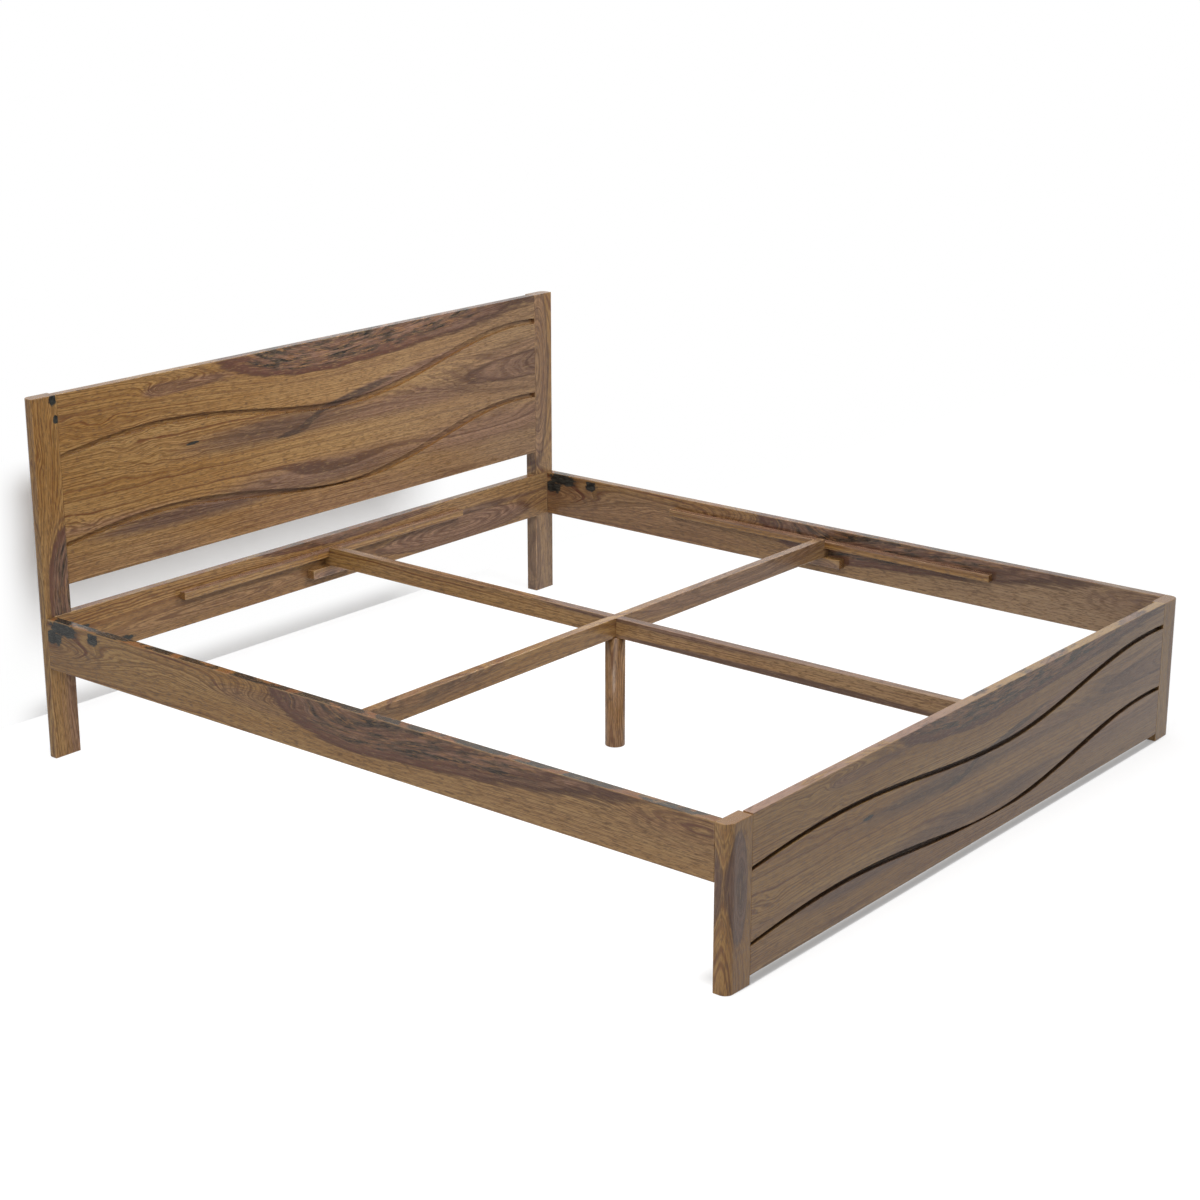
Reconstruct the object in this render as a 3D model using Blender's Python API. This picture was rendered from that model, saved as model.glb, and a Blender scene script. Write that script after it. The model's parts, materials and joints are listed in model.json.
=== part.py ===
"""King size bed frame of solid wood, in metres with +Z up.

The head end is at +Y, the foot end at -Y and the floor at z = 0.
"""

import math

import bmesh
import bpy
from mathutils import Matrix, Vector

# Overall sizes
BED_WIDTH = 1.890
RAIL_LENGTH = 2.004
HEAD_HEIGHT = 0.900
RAIL_TOP = 0.361

# Sections of the timber
BOARD = 0.025
RAIL_HEIGHT = 0.127
POST_WIDTH = 0.076
POST_DEPTH = 0.036
POST_ROUND = 0.020
BEAM_HEIGHT = 0.050
CLEAT = 0.020
LEG_DIAMETER = 0.050

# Levels
HEAD_PANEL_BOTTOM = 0.431
FOOT_PANEL_BOTTOM = 0.020
FOOT_PANEL_PROUD = 0.002
BEAM_DROP = 0.025
CLEAT_DROP = 0.031

# Lengths of the small supports
CLEAT_LENGTH = 1.050
SIDE_BLOCK_LENGTH = 0.130
END_BLOCK_LENGTH = 0.154

# Wave grooves: heights are shares of the panel's height, places are shares of its half length
GROOVE_DEPTH = 0.012
GROOVE_WIDTH = 0.0335
GROOVE_LEVELS = (0.1415, 0.609)
WAVE_TROUGH = 0.12
LEFT_CREST = -0.64
RIGHT_CREST = 0.92
LEFT_RISE = 0.125
RIGHT_RISE = 0.235
WAVE_STATIONS = 44

# Joints
FIT = 0.0003
EASE = 0.0015
POST_END_EASE = 0.0012
TONGUE_LENGTH = 0.012
TONGUE_THICKNESS = 0.010
TONGUE_SHOULDER = 0.020

# Knock-down fittings
PLATE_THICKNESS = 0.0025
PLATE_WIDTH = 0.016
PLATE_HEIGHT = 0.100
HOOK_THICKNESS = 0.004
HOOK_NECK = 0.014
HOOK_LIP = 0.008
HOOK_REACH = 0.004
HOOK_LEVELS = (-0.029, 0.011)
SCREW_LEVELS = (-0.043, 0.043)
SCREW_HEAD_RADIUS = 0.0035
SCREW_SHANK_RADIUS = 0.0017
SCREW_HEAD_HEIGHT = 0.0020
POST_SCREW_LENGTH = 0.018
RAIL_SCREW_LENGTH = 0.030
STUD_RADIUS = 0.004
STUD_IN_LEG = 0.034
STUD_IN_BEAMS = 0.037

# Facets
EASE_STEPS = 2
ROUND_STEPS = 10
LEG_STEPS = 48
SCREW_STEPS = 12

# Worked out from the sizes above
HALF_WIDTH = BED_WIDTH / 2
POST_FACE = RAIL_LENGTH / 2
BED_END = POST_FACE + POST_DEPTH
RAIL_BOTTOM = RAIL_TOP - RAIL_HEIGHT
RAIL_MIDDLE = (RAIL_TOP + RAIL_BOTTOM) / 2
RAIL_INSIDE = HALF_WIDTH - BOARD
POST_INSIDE = HALF_WIDTH - POST_WIDTH
FOOTBOARD_INSIDE = -BED_END + BOARD
BEAM_TOP = RAIL_TOP - BEAM_DROP
BEAM_BOTTOM = BEAM_TOP - BEAM_HEIGHT
BEAM_MIDDLE = (BEAM_TOP + BEAM_BOTTOM) / 2
CLEAT_TOP = RAIL_TOP - CLEAT_DROP
CLEAT_BOTTOM = CLEAT_TOP - CLEAT
BLOCK_TOP = BEAM_BOTTOM - FIT
TONGUE_FRONT = BOARD / 2 + FIT
SIDES = {"left": -1, "right": 1}


def principled(name, colour, roughness, metallic):
    material = bpy.data.materials.new(name)
    material.use_nodes = True
    shader = material.node_tree.nodes["Principled BSDF"]
    shader.inputs["Base Color"].default_value = (*colour, 1.0)
    shader.inputs["Roughness"].default_value = roughness
    shader.inputs["Metallic"].default_value = metallic
    return material


def finish(name, shape, material, smooth=False):
    """A scene object from a bmesh, its faces turned outwards."""
    bmesh.ops.recalc_face_normals(shape, faces=shape.faces)
    for edge in shape.edges:
        edge.smooth = edge.calc_face_angle(0.0) < math.radians(35)
    for face in shape.faces:
        face.smooth = smooth
    mesh = bpy.data.meshes.new(name)
    shape.to_mesh(mesh)
    shape.free()
    obj = bpy.data.objects.new(name, mesh)
    bpy.context.collection.objects.link(obj)
    if material:
        mesh.materials.append(material)
    return obj


def box(low, high):
    low, high = Vector(low), Vector(high)
    place = Matrix.Translation((low + high) / 2) @ Matrix.Diagonal((*(high - low), 1.0))
    shape = bmesh.new()
    bmesh.ops.create_cube(shape, size=1.0, matrix=place)
    return shape


def board(name, low, high, material):
    """A squared piece of timber with all its edges eased."""
    shape = box(low, high)
    bmesh.ops.bevel(shape, geom=shape.edges[:], offset=EASE, segments=EASE_STEPS,
                    profile=0.5, affect="EDGES")
    return finish(name, shape, material)


def loft(rings):
    """A closed skin over rings of points, with flat ends."""
    shape = bmesh.new()
    rows = [[shape.verts.new(point) for point in ring] for ring in rings]
    count = len(rows[0])
    for lower, upper in zip(rows, rows[1:]):
        for i in range(count):
            j = (i + 1) % count
            shape.faces.new((lower[i], lower[j], upper[j], upper[i]))
    shape.faces.new(rows[0][::-1])
    shape.faces.new(rows[-1])
    return shape


def lathe(profile, steps, place):
    """A turned shape: profile holds (radius, height) pairs between its two end faces."""
    turns = [2 * math.pi * i / steps for i in range(steps)]
    rings = [[place @ Vector((r * math.cos(t), r * math.sin(t), h)) for t in turns]
             for r, h in profile]
    return loft(rings)


def combine(target, tool_shape, operation):
    """Cuts the tool's shape out of the target, or joins it on."""
    tool = finish(f"{target.name}_tool_{len(target.modifiers)}", tool_shape, None)
    tool.hide_render = True
    tool.display_type = "WIRE"
    modifier = target.modifiers.new(operation.lower(), "BOOLEAN")
    modifier.operation = operation
    modifier.solver = "EXACT"
    modifier.object = tool


def cut(target, tool_shape):
    combine(target, tool_shape, "DIFFERENCE")


def span(a, b):
    return (min(a, b), max(a, b))


def placed_box(xs, ys, zs):
    """A box from three pairs of bounds, each given in either order."""
    (x0, x1), (y0, y1), (z0, z1) = span(*xs), span(*ys), span(*zs)
    return box((x0, y0, z0), (x1, y1, z1))


def wave(place):
    """How far the groove stands above its trough, as a share of the panel's height."""
    if place < WAVE_TROUGH:
        phase = (WAVE_TROUGH - place) / (WAVE_TROUGH - LEFT_CREST)
        rise = LEFT_RISE
    else:
        phase = (place - WAVE_TROUGH) / (RIGHT_CREST - WAVE_TROUGH)
        rise = RIGHT_RISE
    return rise * (1 - math.cos(math.pi * phase)) / 2


def groove_edges(place, half_length, bottom, height):
    """The (lower, upper) edge heights of each groove at one place along the panel."""
    step = 1.0 / WAVE_STATIONS
    slope = height * (wave(place + step) - wave(place - step)) / (2 * step * half_length)
    half_width = height * GROOVE_WIDTH / 2 * math.hypot(1.0, slope)
    middles = [bottom + height * (level + wave(place)) for level in GROOVE_LEVELS]
    return [(middle - half_width, middle + half_width) for middle in middles]


def wave_panel(name, front, bottom, top, material):
    """A panel whose -Y face carries the grooves, with a tongue on each end."""
    half_length = POST_INSIDE - FIT
    back = front + BOARD
    floor = front + GROOVE_DEPTH
    rings = []
    for station in range(WAVE_STATIONS + 1):
        place = 2 * station / WAVE_STATIONS - 1
        outline = [(front + EASE, bottom), (front, bottom + EASE)]
        for lower, upper in groove_edges(place, half_length, bottom, top - bottom):
            outline += [(front, lower), (floor, lower), (floor, upper), (front, upper)]
        outline += [(front, top - EASE), (front + EASE, top)]
        outline += [(back - EASE, top), (back, top - EASE)]
        outline += [(back, bottom + EASE), (back - EASE, bottom)]
        rings.append([(place * half_length, y, z) for y, z in outline])
    panel = finish(name, loft(rings), material)
    for side in SIDES.values():
        combine(panel, tongue(side, front, bottom, top, 0.0), "UNION")
    return panel


def tongue(side, front, bottom, top, clearance):
    """The tongue of a panel end, or with a clearance the slot that takes it."""
    start = POST_INSIDE - TONGUE_LENGTH / 2
    end = POST_INSIDE + TONGUE_LENGTH + clearance
    near = front + TONGUE_FRONT - clearance
    far = front + TONGUE_FRONT + TONGUE_THICKNESS + clearance
    low = bottom + TONGUE_SHOULDER - clearance
    high = top - TONGUE_SHOULDER + clearance
    return placed_box((side * start, side * end), (near, far), (low, high))


def post_outline(side, end, inset):
    """The post's section: three eased corners and one large round at the outer end corner."""
    corners = [(0, 0, EASE, EASE_STEPS), (POST_WIDTH, 0, EASE, EASE_STEPS),
               (POST_WIDTH, POST_DEPTH, POST_ROUND, ROUND_STEPS), (0, POST_DEPTH, EASE, EASE_STEPS)]
    points = []
    for index, (across, along, radius, steps) in enumerate(corners):
        centre_x = across + radius if across == 0 else across - radius
        centre_y = along + radius if along == 0 else along - radius
        for step in range(steps + 1):
            turn = math.pi * (1 + index / 2 + step / steps / 2)
            x = centre_x + (radius - inset) * math.cos(turn)
            y = centre_y + (radius - inset) * math.sin(turn)
            points.append((side * (POST_INSIDE + x), end * (POST_FACE + y)))
    return points


def post(name, side, end, height, material):
    """A corner post, with its top and foot edges eased."""
    ease = POST_END_EASE
    rings = []
    for z, shrink in ((0, ease), (ease, 0), (height - ease, 0), (height, ease)):
        rings.append([(x, y, z) for x, y in post_outline(side, end, shrink)])
    return finish(name, loft(rings), material)


def screw_profile(length, grow):
    """A countersunk screw from its head down, or with grow the hole that clears it."""
    shank = SCREW_SHANK_RADIUS + grow
    profile = [(SCREW_HEAD_RADIUS + grow, 0), (shank, SCREW_HEAD_HEIGHT),
               (shank, length - 2 * SCREW_SHANK_RADIUS), (shank / 4, length + grow)]
    if grow:
        profile.insert(0, (SCREW_HEAD_RADIUS + grow, -PLATE_THICKNESS))
    return profile


def along_y(x, y, z, direction):
    """The frame of a turned shape whose height runs along Y."""
    return Matrix.Translation((x, y, z)) @ Matrix.Rotation(-direction * math.pi / 2, 4, "X")


def hook(side, end, level, grow):
    """A hook of the rail's plate, or with grow the room it needs to lift in and drop."""
    x = side * (HALF_WIDTH - BOARD / 2)
    bottom = RAIL_MIDDLE + level
    top = bottom + HOOK_NECK
    root = POST_FACE - FIT - PLATE_THICKNESS / 2
    neck_end = POST_FACE + PLATE_THICKNESS + FIT
    tip = neck_end + HOOK_REACH
    if grow:
        room = placed_box((x - HOOK_THICKNESS / 2 - 2 * grow, x + HOOK_THICKNESS / 2 + 2 * grow),
                          (end * POST_FACE, end * (tip + 2 * grow)),
                          (bottom - HOOK_LIP - 2 * grow, top + HOOK_LIP + 2 * grow))
        return room
    outline = [(root, top), (tip, top), (tip, bottom - HOOK_LIP), (neck_end, bottom - HOOK_LIP),
               (neck_end, bottom), (root, bottom)]
    return loft([[(x + shift, end * y, z) for y, z in outline]
                 for shift in (-HOOK_THICKNESS / 2, HOOK_THICKNESS / 2)])


def plate_slot(side, end, level):
    """The slot that a hook passes through; the neck comes to rest just above its lower end."""
    x = side * (HALF_WIDTH - BOARD / 2)
    bottom = RAIL_MIDDLE + level
    return placed_box((x - HOOK_THICKNESS / 2 - FIT, x + HOOK_THICKNESS / 2 + FIT),
                      (end * (POST_FACE - PLATE_THICKNESS), end * (POST_FACE + 2 * PLATE_THICKNESS)),
                      (bottom - FIT, bottom + HOOK_NECK + HOOK_LIP + 2 * FIT))


def plate_box(side, end, near, grow):
    """A fitting plate that starts at the distance near from the middle, or the recess for it."""
    x = side * (HALF_WIDTH - BOARD / 2)
    half = PLATE_WIDTH / 2 + grow
    tall = PLATE_HEIGHT / 2 + grow
    return placed_box((x - half, x + half), (end * near[0], end * near[1]),
                      (RAIL_MIDDLE - tall, RAIL_MIDDLE + tall))


def corner_fitting(label, side, end, rail, corner_post, material):
    """The hook plate in the rail's end, the slot plate in the post, and the screws of both."""
    x = side * (HALF_WIDTH - BOARD / 2)
    rail_end = POST_FACE - FIT
    slot_plate = finish(f"slot_plate_{label}",
                        plate_box(side, end, (POST_FACE, POST_FACE + PLATE_THICKNESS), 0.0), material)
    hook_plate = finish(f"hook_plate_{label}",
                        plate_box(side, end, (rail_end - PLATE_THICKNESS, rail_end), 0.0), material)
    cut(corner_post, plate_box(side, end, (POST_FACE - BOARD, POST_FACE + PLATE_THICKNESS + FIT), FIT))
    cut(rail, plate_box(side, end, (rail_end - PLATE_THICKNESS - FIT, rail_end + BOARD), FIT))
    for level in HOOK_LEVELS:
        cut(slot_plate, plate_slot(side, end, level))
        cut(corner_post, hook(side, end, level, FIT))
        combine(hook_plate, hook(side, end, level, 0.0), "UNION")
    fixings = (("post_screw", slot_plate, corner_post, POST_FACE, end, POST_SCREW_LENGTH),
               ("rail_screw", hook_plate, rail, rail_end, -end, RAIL_SCREW_LENGTH))
    for kind, plate, timber, start, direction, length in fixings:
        for place, level in zip(("lower", "upper"), SCREW_LEVELS):
            frame = along_y(x, end * start, RAIL_MIDDLE + level, direction)
            finish(f"{kind}_{label}_{place}",
                   lathe(screw_profile(length, 0.0), SCREW_STEPS, frame), material, smooth=True)
            for holed in (plate, timber):
                cut(holed, lathe(screw_profile(length, FIT), SCREW_STEPS, frame))


for old in list(bpy.data.objects):
    bpy.data.objects.remove(old)

panel_wood = principled("panel_wood", (0.26, 0.145, 0.062), 0.5, 0.0)
post_wood = principled("post_wood", (0.24, 0.135, 0.066), 0.5, 0.0)
rail_wood = principled("rail_wood", (0.23, 0.125, 0.058), 0.5, 0.0)
beam_wood = principled("beam_wood", (0.25, 0.135, 0.060), 0.5, 0.0)
cleat_wood = principled("cleat_wood", (0.20, 0.110, 0.052), 0.55, 0.0)
zinc_steel = principled("zinc_steel", (0.55, 0.56, 0.58), 0.35, 1.0)

# Headboard and footboard panels
foot_panel_top = RAIL_TOP + FOOT_PANEL_PROUD
panels = {"head": (POST_FACE, HEAD_PANEL_BOTTOM, HEAD_HEIGHT),
          "foot": (-BED_END, FOOT_PANEL_BOTTOM, foot_panel_top)}
for end_name, (front, low, high) in panels.items():
    wave_panel(f"{end_name}board_panel", front, low, high, panel_wood)

# Head rail, let into the fronts of the head posts
board("head_rail", (-RAIL_INSIDE + FIT, POST_FACE, RAIL_BOTTOM),
      (RAIL_INSIDE - FIT, POST_FACE + BOARD, RAIL_TOP), rail_wood)

# Posts, side rails and the fittings that join them
for side_name, side in SIDES.items():
    rail_xs = span(side * RAIL_INSIDE, side * HALF_WIDTH)
    rail = board(f"side_rail_{side_name}", (rail_xs[0], -POST_FACE + FIT, RAIL_BOTTOM),
                 (rail_xs[1], POST_FACE - FIT, RAIL_TOP), rail_wood)
    for end_name, end, height in (("head", 1, HEAD_HEIGHT), ("foot", -1, RAIL_TOP)):
        corner_post = post(f"{end_name}_post_{side_name}", side, end, height, post_wood)
        front, low, high = panels[end_name]
        cut(corner_post, tongue(side, front, low, high, FIT))
        if end_name == "head":
            cut(corner_post, placed_box((0, side * RAIL_INSIDE), (0, POST_FACE + BOARD + FIT),
                                        (RAIL_BOTTOM - FIT, RAIL_TOP + FIT)))
        corner_fitting(f"{end_name}_{side_name}", side, end, rail, corner_post, zinc_steel)

# Cleats and blocks on the side rails
for side_name, side in SIDES.items():
    face = side * (RAIL_INSIDE - FIT)
    for name, depth, length, top in (("cleat", CLEAT, CLEAT_LENGTH, CLEAT_TOP),
                                     ("block", BOARD, SIDE_BLOCK_LENGTH, BLOCK_TOP)):
        xs = span(face, face - side * depth)
        board(f"{name}_{side_name}", (xs[0], -length / 2, top - depth),
              (xs[1], length / 2, top), cleat_wood)

# Cleats and blocks on the head rail and the footboard
for end_name, face, inward in (("head", POST_FACE - FIT, -1), ("foot", FOOTBOARD_INSIDE + FIT, 1)):
    for name, depth, length, top in (("cleat", CLEAT, CLEAT_LENGTH, CLEAT_TOP),
                                     ("block", BOARD, END_BLOCK_LENGTH, BLOCK_TOP)):
        ys = span(face, face + inward * depth)
        board(f"{name}_{end_name}", (-length / 2, ys[0], top - depth),
              (length / 2, ys[1], top), cleat_wood)

# Support beams: each end steps under a cleat, and the two are halved where they cross
half = BOARD / 2
step_depth = CLEAT + 2 * FIT
step_top = BEAM_TOP + BOARD
cross_beam = board("cross_beam", (-RAIL_INSIDE + FIT, -half, BEAM_BOTTOM),
                   (RAIL_INSIDE - FIT, half, BEAM_TOP), beam_wood)
long_beam = board("long_beam", (-half, FOOTBOARD_INSIDE + FIT, BEAM_BOTTOM),
                  (half, POST_FACE - FIT, BEAM_TOP), beam_wood)
step_zs = (CLEAT_BOTTOM - FIT, step_top)
for side in SIDES.values():
    cut(cross_beam, placed_box((side * (RAIL_INSIDE - step_depth), side * HALF_WIDTH), (-BOARD, BOARD),
                               step_zs))
for face, inward in ((POST_FACE, -1), (FOOTBOARD_INSIDE, 1)):
    cut(long_beam, placed_box((-BOARD, BOARD), (face + inward * step_depth, face - inward * BOARD),
                              step_zs))
cut(cross_beam, placed_box((-half - FIT, half + FIT), (-BOARD, BOARD),
                           (BEAM_BOTTOM - BOARD, BEAM_MIDDLE + FIT)))
cut(long_beam, placed_box((-BOARD, BOARD), (-half - FIT, half + FIT), (BEAM_MIDDLE, step_top)))

# Centre leg and the stud that holds it
leg_top = BEAM_BOTTOM - FIT
leg_radius = LEG_DIAMETER / 2
upright = Matrix.Identity(4)
leg = finish("centre_leg", lathe([(leg_radius - EASE, 0), (leg_radius, EASE), (leg_radius, leg_top)],
                                 LEG_STEPS, upright), post_wood, smooth=True)
stud_low = leg_top - STUD_IN_LEG
stud_high = leg_top + STUD_IN_BEAMS
stud_end = STUD_RADIUS - EASE / 2
finish("leg_stud", lathe([(stud_end, stud_low), (STUD_RADIUS, stud_low + EASE / 2),
                          (STUD_RADIUS, stud_high - EASE / 2), (stud_end, stud_high)],
                         2 * SCREW_STEPS, upright), zinc_steel, smooth=True)
for drilled in (leg, cross_beam, long_beam):
    cut(drilled, lathe([(STUD_RADIUS + FIT, stud_low - FIT), (STUD_RADIUS + FIT, stud_high + FIT)],
                       2 * SCREW_STEPS, upright))
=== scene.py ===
# %% [markdown]
# # A king size bed in figured hardwood
# This lesson dresses a bed frame whose solids are already packed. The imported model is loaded
# first and stays where it is. Each board is then made again with softer edges, laid in exactly
# the place of its solid, and given a wood of its own.

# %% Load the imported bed
import json
import math

import bpy
from mathutils import Euler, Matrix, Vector


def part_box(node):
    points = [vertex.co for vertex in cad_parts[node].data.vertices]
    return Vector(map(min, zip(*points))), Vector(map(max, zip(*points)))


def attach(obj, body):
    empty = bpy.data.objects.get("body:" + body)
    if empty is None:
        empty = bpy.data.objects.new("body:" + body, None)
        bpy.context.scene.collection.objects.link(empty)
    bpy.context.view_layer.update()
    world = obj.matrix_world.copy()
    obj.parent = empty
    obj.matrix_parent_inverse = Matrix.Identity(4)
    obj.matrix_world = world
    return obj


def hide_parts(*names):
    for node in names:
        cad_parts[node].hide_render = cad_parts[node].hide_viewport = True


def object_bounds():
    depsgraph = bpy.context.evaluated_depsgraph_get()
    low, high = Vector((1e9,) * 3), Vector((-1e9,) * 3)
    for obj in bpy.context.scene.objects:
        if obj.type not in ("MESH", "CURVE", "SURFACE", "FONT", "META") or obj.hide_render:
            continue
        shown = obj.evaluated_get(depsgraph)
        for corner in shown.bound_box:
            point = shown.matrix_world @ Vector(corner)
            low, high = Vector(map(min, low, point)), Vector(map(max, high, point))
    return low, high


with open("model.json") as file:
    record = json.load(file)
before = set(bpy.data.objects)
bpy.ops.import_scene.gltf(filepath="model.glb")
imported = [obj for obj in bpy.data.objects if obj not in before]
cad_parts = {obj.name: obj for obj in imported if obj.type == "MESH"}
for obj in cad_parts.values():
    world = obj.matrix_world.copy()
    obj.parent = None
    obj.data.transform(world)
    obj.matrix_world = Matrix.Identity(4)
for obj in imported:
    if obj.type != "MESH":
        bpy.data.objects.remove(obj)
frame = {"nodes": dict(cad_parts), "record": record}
cad_low, cad_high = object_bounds()
print("packed nodes:", len(frame["nodes"]), "box:", [round(v, 3) for v in cad_high - cad_low])

# %% [markdown]
# ## The camera
# The camera's place was worked out from the straight edges of the bed in the photograph. A long
# lens from about six metres away keeps the far posts nearly as tall as the near ones. Such a fit
# gives the lens in pixels, so it is turned into millimetres here.

# %% Camera
PICTURE_SIDE = 1200
FOCAL_PIXELS = 2368.18
SENSOR_WIDTH = 36.0
EYE = Vector((-4.32417, -3.46925, 2.10417))
LOOK = Vector((0.74065, 0.60250, -0.29738))

camera_data = bpy.data.cameras.new("camera")
camera_data.sensor_width = SENSOR_WIDTH
camera_data.lens = SENSOR_WIDTH * FOCAL_PIXELS / PICTURE_SIDE
camera = bpy.data.objects.new("camera", camera_data)
bpy.context.scene.collection.objects.link(camera)
camera.location = EYE
camera.rotation_euler = LOOK.to_track_quat("-Z", "Y").to_euler()
bpy.context.scene.camera = camera
print("lens in mm:", round(camera_data.lens, 2))

# %% [markdown]
# ## Sawn and eased boards
# Every board starts as a cube at the size of its solid. A joiner breaks each sharp edge with a
# plane, so all edges get a narrow round bevel. The bevel could be a modifier, but a bevel in edit
# mode can be given to chosen edges only, which the posts and the leg need later.

# %% Blocks and bevels
HAIR = 0.000001
EDGE_EASE = 0.0016
EASE_STEPS = 3


def only(piece):
    """Makes one piece the only selected object."""
    bpy.ops.object.select_all(action="DESELECT")
    piece.select_set(True)
    bpy.context.view_layer.objects.active = piece


def block(name, low, high):
    """A cube scaled to fill the box from low to high."""
    low, high = Vector(low), Vector(high)
    bpy.ops.object.select_all(action="DESELECT")
    bpy.ops.mesh.primitive_cube_add(size=1.0, location=(low + high) / 2)
    piece = bpy.context.object
    piece.name = piece.data.name = name
    piece.scale = high - low - Vector((HAIR, HAIR, HAIR))
    bpy.ops.object.transform_apply(location=True, rotation=True, scale=True)
    return piece


def bevel_edges(piece, wanted, offset, steps, clamp=False):
    """Rounds the edges for which wanted(edge, middle, direction) is true."""
    only(piece)
    bpy.ops.object.mode_set(mode="EDIT")
    bpy.ops.mesh.select_mode(type="EDGE")
    bpy.ops.mesh.select_all(action="DESELECT")
    bpy.ops.object.mode_set(mode="OBJECT")
    points = piece.data.vertices
    for edge in piece.data.edges:
        a, b = (points[i].co for i in edge.vertices)
        edge.select = wanted(edge, (a + b) / 2, (b - a).normalized())
    bpy.ops.object.mode_set(mode="EDIT")
    bpy.ops.mesh.bevel(offset=offset, segments=steps, profile=0.5, affect="EDGES",
                       clamp_overlap=clamp)
    bpy.ops.object.mode_set(mode="OBJECT")


def board(node):
    """A squared board with eased edges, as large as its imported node."""
    piece = block(f"{node}_wood", *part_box(node))
    bevel_edges(piece, lambda edge, middle, direction: True, EDGE_EASE, EASE_STEPS)
    return piece


print("edges eased by mm:", EDGE_EASE * 1000)

# %% [markdown]
# ## Joints
# Joints are cut after the easing, because a saw leaves those edges crisp. A box could be carved
# out face by face, but a Boolean modifier with a second block does the same as a chisel does, and
# the block's size says plainly what is taken away. Every joint has a little play.

# %% Cutting joints
FIT = 0.0003
PLAY = Vector((FIT, FIT, FIT))


def apply_boolean(piece, tool, operation):
    """Joins a tool to a piece or cuts it out, and throws the tool away."""
    only(piece)
    step = piece.modifiers.new("joint", "BOOLEAN")
    step.operation = operation
    step.solver = "EXACT"
    step.object = tool
    bpy.ops.object.modifier_apply(modifier=step.name)
    bpy.data.objects.remove(tool)


def cut_box(piece, low, high):
    apply_boolean(piece, block("cutter", low, high), "DIFFERENCE")


def cut_nodes(piece, *nodes):
    """Cuts a pocket with a little play for each fitting or board that sits inside this piece."""
    for node in nodes:
        low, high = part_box(node)
        cut_box(piece, low - PLAY, high + PLAY)


print("play in joints in mm:", FIT * 1000)

# %% [markdown]
# ## Setting a piece in the frame
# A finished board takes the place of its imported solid, which is hidden. Smooth shading alone
# would make wide faces look swollen, so weighted normals keep them flat in the light and leave
# the turn of the shading to the narrow bevels.

# %% Standing for a solid
FACE_WEIGHT = 100
PIECES = {}


def settle_normals(piece):
    """Smooth shading that still leaves the wide faces flat."""
    only(piece)
    bpy.ops.object.shade_smooth()
    weigh = piece.modifiers.new("weigh", "WEIGHTED_NORMAL")
    weigh.weight = FACE_WEIGHT
    weigh.keep_sharp = False
    bpy.ops.object.modifier_apply(modifier=weigh.name)


def stand_for(piece, node):
    """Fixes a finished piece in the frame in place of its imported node."""
    settle_normals(piece)
    slot = next(s["material_slot"] for s in frame["record"]["subparts"] if s["node"] == node)
    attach(piece, "root")
    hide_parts(node)
    PIECES[node] = piece


# %% [markdown]
# ## Rails
# The two side rails butt against the posts. Each end holds a steel hook plate that drops into a
# slot plate in the post, so the rail ends get pockets for the plate and its screws. The head rail
# is let into the fronts of the head posts and lies flush with them.

# %% Rails
SIDES = ("left", "right")
ENDS = ("head", "foot")
LEVELS = ("lower", "upper")

for side in SIDES:
    rail = board(f"side_rail_{side}")
    for end in ENDS:
        screws = [f"rail_screw_{end}_{side}_{level}" for level in LEVELS]
        cut_nodes(rail, f"hook_plate_{end}_{side}", *screws)
    stand_for(rail, f"side_rail_{side}")
stand_for(board("head_rail"), "head_rail")
print("rails:", list(PIECES))

# %% [markdown]
# ## Posts
# Each post is a flat stick with one large round on its outer corner: at the back on the head
# posts, at the front on the foot posts. The round is a bevel of that one edge with many steps.
# The small easing follows on all the edges that are still sharp, so that it does not cut into
# the round.

# %% Rounding the posts
POST_ROUND = 0.020
ROUND_STEPS = 14
SHARP_TURN = 0.5
UPRIGHT = 0.9
TOUCHING = 0.0001


def sharp_edges(piece):
    """The edges where two faces meet at more than a slight angle, as pairs of points."""
    normals = {}
    for face in piece.data.polygons:
        for key in face.edge_keys:
            normals.setdefault(key, []).append(face.normal)
    return {key for key, pair in normals.items() if pair[0].angle(pair[1]) > SHARP_TURN}


def rounded_post(end, side):
    """A post with its outer corner rounded and its other edges eased."""
    low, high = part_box(f"{end}_post_{side}")
    piece = block(f"{end}_post_{side}_wood", low, high)
    outer_x = low.x if side == "left" else high.x
    outer_y = high.y if end == "head" else low.y

    def outer_corner(edge, middle, direction):
        away = abs(middle.x - outer_x) + abs(middle.y - outer_y)
        return abs(direction.z) > UPRIGHT and away < TOUCHING

    bevel_edges(piece, outer_corner, POST_ROUND, ROUND_STEPS)
    sharp = sharp_edges(piece)
    bevel_edges(piece, lambda edge, middle, direction: tuple(sorted(edge.vertices)) in sharp,
                EDGE_EASE, EASE_STEPS, clamp=True)
    return piece


print("post corners rounded by mm:", POST_ROUND * 1000)

# %% [markdown]
# The posts hold the bed together. A slot takes the tongue on the end of a panel, a housing takes
# the head rail, and pockets take the steel plates with their screws. All are cut with the boxes
# of the pieces that go into them, so that each joint fits by itself.

# %% Posts
TONGUE_LENGTH = 0.012
TONGUE_BACK = 0.0025
TONGUE_THICKNESS = 0.0097
TONGUE_SHOULDER = 0.0203


def tongue_box(end):
    """The box of both tongues of a panel and all between them."""
    low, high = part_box(f"{end}board_panel")
    low = Vector((low.x, high.y - TONGUE_BACK - TONGUE_THICKNESS, low.z + TONGUE_SHOULDER))
    return low, high - Vector((0.0, TONGUE_BACK, TONGUE_SHOULDER))


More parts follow.
